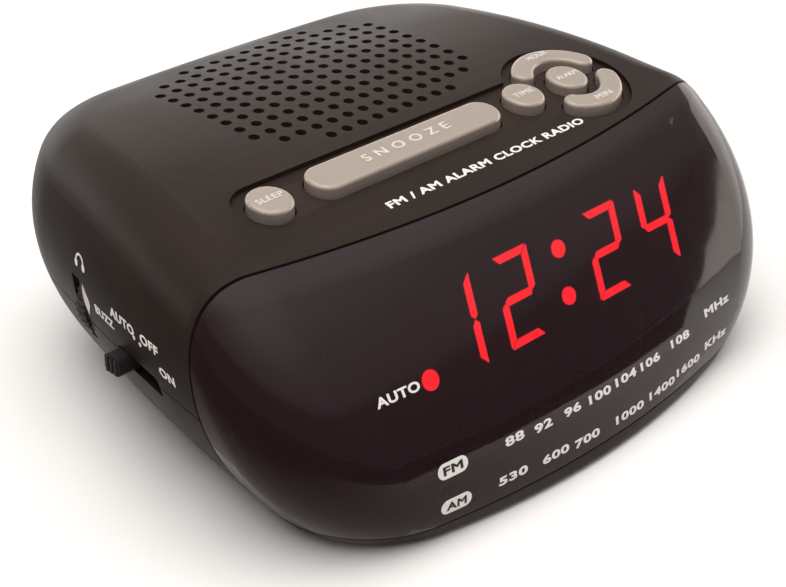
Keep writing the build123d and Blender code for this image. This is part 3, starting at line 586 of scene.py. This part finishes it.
def flag(name, corners, left, right, span=(0.0, 0.1)):
    """Flat sheet, seen only in reflections, as a photographer's flag or reflector is.

    Its tone runs from left to right over a span of x.
    """
    mesh = bpy.data.meshes.new(name)
    mesh.from_pydata(corners, [], [tuple(range(len(corners)))])
    sheet = bpy.data.objects.new(name, mesh)
    shade = Shade(name)
    split = shade.tree.nodes.new("ShaderNodeSeparateXYZ")
    shade.link(shade.place, split.inputs["Vector"])
    along = shade.spread(split.outputs["X"], 0.3, 0.7, *span)
    shade.put(Base_Color=(0, 0, 0, 1), Roughness=1.0, Specular_IOR_Level=0.0,
              Emission_Color=shade.blend(along, left, right), Emission_Strength=1.0)
    mesh.materials.append(shade.material)
    bpy.context.scene.collection.objects.link(sheet)
    sheet.visible_camera = False
    sheet.visible_diffuse = False
    sheet.visible_shadow = False


# The lens is a mirror for what lies in front and right of the radio. The outlines of the next
# three sheets were chosen so that its lighter band falls where the photograph has one.
# SHEET_SEAM is where the dark sheet and the greyer one, which is nearer the radio, meet.
SHEET_SEAM = [(-0.1, 0.8), (-0.1, -0.019), (-0.0955, -0.048), (-0.087, -0.091),
              (-0.0173, -0.1306), (0.03, -0.158)]
FLOOR_FLAG = [(-1.6, 0.8), *SHEET_SEAM, (0.08, -0.168), (0.097, -0.140), (0.109, -0.119),
              (1.27, -0.98), (1.27, -1.6), (-1.6, -1.6)]
NEAR_FLAG = [*SHEET_SEAM, (0.07, -0.166), (0.07, -0.06), (-0.0173, -0.0605), (-0.045, -0.055),
             (-0.062, -0.03), (-0.062, 0.8)]
SHEET_Z = 0.5 * MM
# outline of the reflector that stands right of the radio, as (y, z)
REFLECTOR = [(-0.84, 0.005), (-0.758, 0.20), (-0.632, 0.35), (-0.54, 0.45), (-0.35, 0.553),
             (0.33, 0.575), (0.33, 0.005)]
REFLECTOR_X = 1.1
DARK_FELT = (0.085, 0.072, 0.066)
GREY_CARD = (0.14, 0.12, 0.11)
PALE_CARD = (1.1, 1.0, 0.95)
BRIGHT_CARD = (2.0, 1.85, 1.7)

pale_floor()
dome([(0.0, 0.13), (0.36, 0.14), (0.42, 0.30), (0.6, 0.42), (0.95, 1.0)])
flag("floor_flag", [(x, y, SHEET_Z) for x, y in FLOOR_FLAG], DARK_FELT, DARK_FELT)
flag("near_flag", [(x, y, SHEET_Z) for x, y in NEAR_FLAG], GREY_CARD, PALE_CARD, span=(-0.09, 0.07))
flag("right_reflector", [(REFLECTOR_X, y, z) for y, z in REFLECTOR], BRIGHT_CARD, BRIGHT_CARD)
white_card("back_card", place=(0.1, 1.1, 0.20), aim=(0, 0, 0.10), size=(2.4, 0.40), radiance=1.8)
white_card("right_card", place=(1.1, 0.75, 0.20), aim=(0, 0.3, 0.10), size=(0.9, 0.40), radiance=1.6)
key_box = softbox("key_box", place=(-0.15, -0.05, 1.1), aim=(0, 0, 0), size=(1.2, 1.2), power=14.5)
key_box.visible_glossy = False
bpy.context.scene.view_settings.view_transform = "Standard"

# ---------------------------------------------------------------- camera
# where the photograph was taken from, in metres, and which way it looks
EYE = Vector((-0.20206, -0.20664, 0.17685))
VIEW = Vector((0.6096, 0.6171, -0.4976))
SENSOR_MM, FOCAL_MM = 36.0, 74.35
camera_data = bpy.data.cameras.new("camera")
camera_data.sensor_width = SENSOR_MM
camera_data.lens = FOCAL_MM
camera = bpy.data.objects.new("camera", camera_data)
camera.location = EYE
camera.rotation_euler = VIEW.to_track_quat("-Z", "Y").to_euler()
bpy.context.scene.collection.objects.link(camera)
bpy.context.scene.camera = camera
